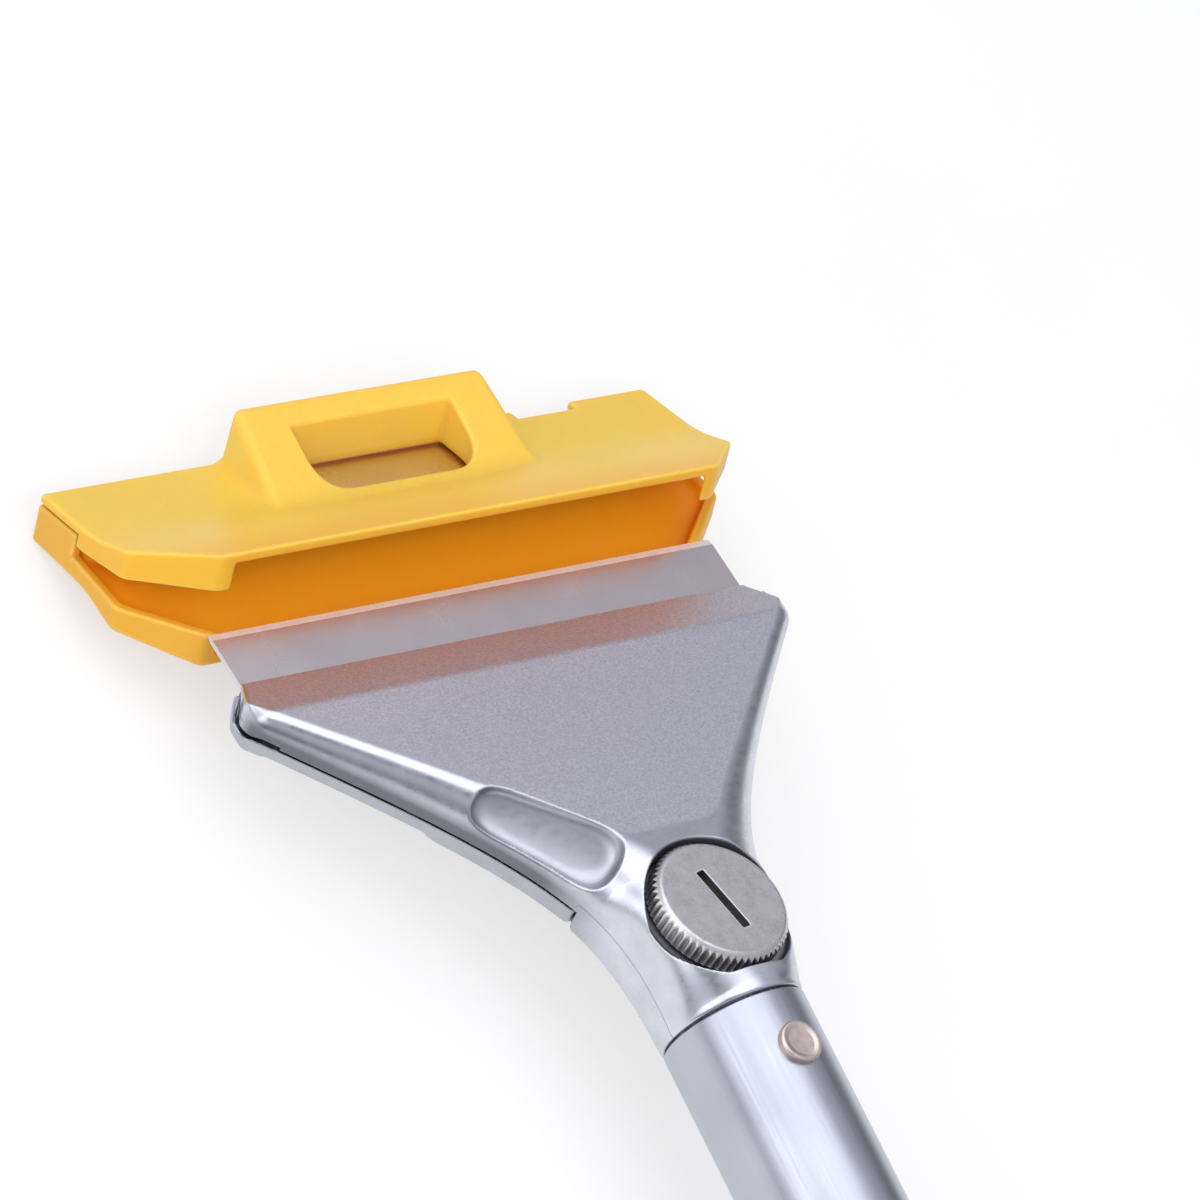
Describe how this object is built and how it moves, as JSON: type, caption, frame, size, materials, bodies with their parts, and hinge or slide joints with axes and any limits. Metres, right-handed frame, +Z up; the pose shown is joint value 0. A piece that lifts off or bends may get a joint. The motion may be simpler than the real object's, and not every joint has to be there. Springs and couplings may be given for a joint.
{
  "type": "heavy-duty scraper",
  "caption": "Long-handled scraper: wide blade clamped in a cast head by a coin-slot knob, round tube handle with a ribbed grip, and a plastic blade guard drawn just off the blade.",
  "frame": {"origin": "on the level under the middle of the bounding box, as drawn with the guard just off the blade", "axes": "+X along the cutting edge, +Y along the handle towards the blade, +Z up on the knob's side"},
  "size_m": [0.1208, 0.3386, 0.0411],
  "materials": {
    "cast_metal": "bead-blasted face with polished rims",
    "blade_steel": "satin ground",
    "knob_metal": "aged plating, worn bright on the knurl",
    "bare_steel": "plain",
    "tube_metal": "satin drawn tube",
    "rivet_metal": "flat turned head",
    "grip_rubber": "matt ribbed",
    "cap_plastic": "fine grain",
    "guard_plastic": "satin moulded",
    "bush_brass": "turned"
  },
  "bodies": {
    "head": {"head_casting": "cast_metal", "knob_washer": "bare_steel", "clip_washer": "bare_steel", "jaw_spring": "bare_steel", "guide_pins": "bare_steel", "tube": "tube_metal", "tube_rivet": "rivet_metal", "grip": "grip_rubber", "end_cap": "cap_plastic", "hang_eyelet": "bare_steel", "cap_pin": "bare_steel"},
    "clamp_knob": {"knob": "knob_metal", "knob_stud": "bare_steel", "stud_clip": "bare_steel"},
    "lower_jaw": {"jaw_plate": "cast_metal", "jaw_insert": "bush_brass"},
    "cutter": {"blade": "blade_steel"},
    "guard": {"guard_upper": "guard_plastic", "guard_lower": "guard_plastic"},
    "spare": {"spare_blade": "blade_steel"}
  },
  "joints": [
    {"name": "knob_turn", "type": "hinge", "parent": "head", "child": "clamp_knob", "pos_m": [0, 0.06099, 0.03487], "axis": [0, 0.1538, 0.9881], "range_deg": [0, 360]},
    {"name": "jaw_open", "type": "slide", "parent": "head", "child": "lower_jaw", "axis": [0, -0.1538, -0.9881], "range_m": [0, 0.00125]},
    {"name": "blade_draw", "type": "slide", "parent": "head", "child": "cutter", "axis": [0, 0.9881, -0.1538], "range_m": [0, 0.008]},
    {"name": "guard_swing", "type": "hinge", "parent": "head", "child": "guard", "pos_m": [0, 0.12563, -0.03182], "axis": [1, 0, 0], "range_deg": [0, 18.9]},
    {"name": "spare_push", "type": "slide", "parent": "guard", "child": "spare", "axis": [0, 0.885, -0.4656], "range_m": [0, 0.018]}
  ],
  "couplings": [
    {"joint": "knob_turn", "follows": "jaw_open", "rad_per_m": 5026.5}
  ]
}
